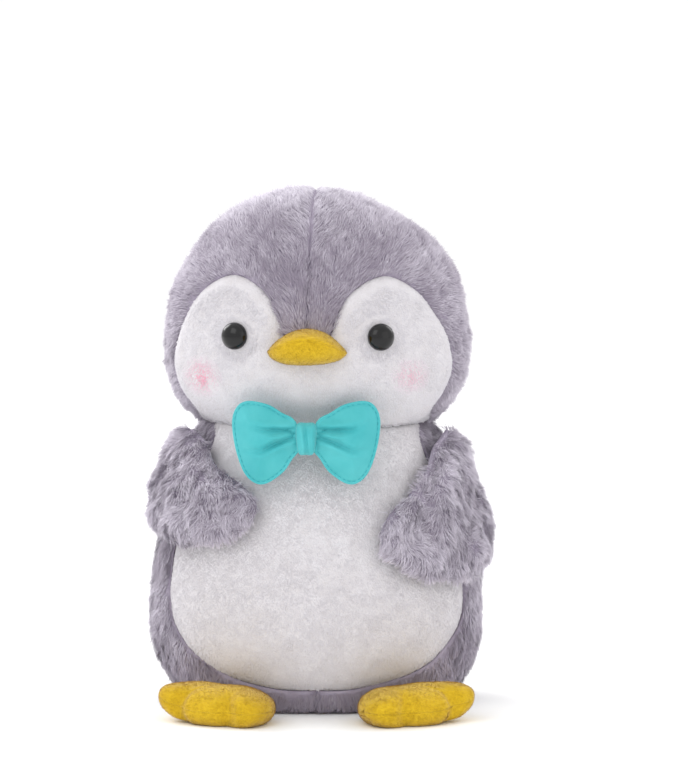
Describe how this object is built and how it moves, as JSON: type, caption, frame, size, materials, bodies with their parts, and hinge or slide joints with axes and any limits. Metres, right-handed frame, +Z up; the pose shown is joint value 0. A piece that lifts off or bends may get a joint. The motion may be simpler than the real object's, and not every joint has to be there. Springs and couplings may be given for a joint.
{
  "type": "plush penguin",
  "caption": "Standing stuffed plush penguin with grey back, white face and belly, padded wings and feet, beak, domed eyes and a bow tie.",
  "frame": {"origin": "on the floor under the middle of the object's length and width", "axes": "+Z up, the face and belly look towards -Y, and the toy's own left is +X"},
  "size_m": [0.154, 0.1466, 0.2295],
  "materials": {
    "grey_plush": "matte",
    "white_plush": "matte",
    "wadding": "matte",
    "yellow_fleece": "matte",
    "teal_cloth": "matte",
    "eye_plastic": "gloss",
    "washer_plastic": "matte"
  },
  "bodies": {
    "torso": {"body_cover_left": "grey_plush", "body_cover_right": "grey_plush", "belly_panel": "white_plush", "base_panel": "grey_plush", "body_stuffing": "wadding", "bow_knot": "teal_cloth"},
    "head": {"head_cover_left": "grey_plush", "head_cover_right": "grey_plush", "face_panel": "white_plush", "head_stuffing": "wadding", "left_eye": "eye_plastic", "right_eye": "eye_plastic", "left_eye_washer": "washer_plastic", "right_eye_washer": "washer_plastic", "beak_upper_panel": "yellow_fleece", "beak_lower_panel": "yellow_fleece", "beak_stuffing": "wadding"},
    "left_wing": {"left_wing_outer_panel": "grey_plush", "left_wing_inner_panel": "grey_plush", "left_wing_stuffing": "wadding"},
    "left_foot": {"left_foot_upper": "yellow_fleece", "left_foot_sole": "yellow_fleece", "left_foot_stuffing": "wadding"},
    "left_bow_loop": {"left_loop_front": "teal_cloth", "left_loop_back": "teal_cloth", "left_loop_wadding": "wadding"},
    "right_wing": {"right_wing_outer_panel": "grey_plush", "right_wing_inner_panel": "grey_plush", "right_wing_stuffing": "wadding"},
    "right_foot": {"right_foot_upper": "yellow_fleece", "right_foot_sole": "yellow_fleece", "right_foot_stuffing": "wadding"},
    "right_bow_loop": {"right_loop_front": "teal_cloth", "right_loop_back": "teal_cloth", "right_loop_wadding": "wadding"}
  },
  "joints": [
    {"name": "neck_turn", "type": "hinge", "parent": "torso", "child": "head", "pos_m": [-0.00128, 0.01543, 0.1265], "axis": [0, 0, 1], "range_deg": [-15, 15], "stiffness_Nm_per_rad": 0.5},
    {"name": "left_wing_lift", "type": "hinge", "parent": "torso", "child": "left_wing", "pos_m": [0.05251, 0.00122, 0.1205], "axis": [-0.4226, -0.9063, 0], "range_deg": [0, 50], "stiffness_Nm_per_rad": 0.1},
    {"name": "left_foot_flex", "type": "hinge", "parent": "torso", "child": "left_foot", "pos_m": [0.03125, -0.03397, 0.0065], "axis": [-0.866, -0.5, 0], "range_deg": [-20, 15], "stiffness_Nm_per_rad": 0.3},
    {"name": "left_bow_loop_swing", "type": "hinge", "parent": "torso", "child": "left_bow_loop", "pos_m": [-0.00023, -0.04668, 0.1265], "axis": [0, 0, -1], "range_deg": [0, 20], "stiffness_Nm_per_rad": 0.02},
    {"name": "right_wing_lift", "type": "hinge", "parent": "torso", "child": "right_wing", "pos_m": [-0.05315, 0.00007, 0.1235], "axis": [-0.4226, 0.9063, 0], "range_deg": [0, 50], "stiffness_Nm_per_rad": 0.1},
    {"name": "right_foot_flex", "type": "hinge", "parent": "torso", "child": "right_foot", "pos_m": [-0.03381, -0.03397, 0.0065], "axis": [-0.866, 0.5, 0], "range_deg": [-20, 15], "stiffness_Nm_per_rad": 0.3},
    {"name": "right_bow_loop_swing", "type": "hinge", "parent": "torso", "child": "right_bow_loop", "pos_m": [-0.01133, -0.04668, 0.1265], "axis": [0, 0, 1], "range_deg": [0, 20], "stiffness_Nm_per_rad": 0.02}
  ]
}
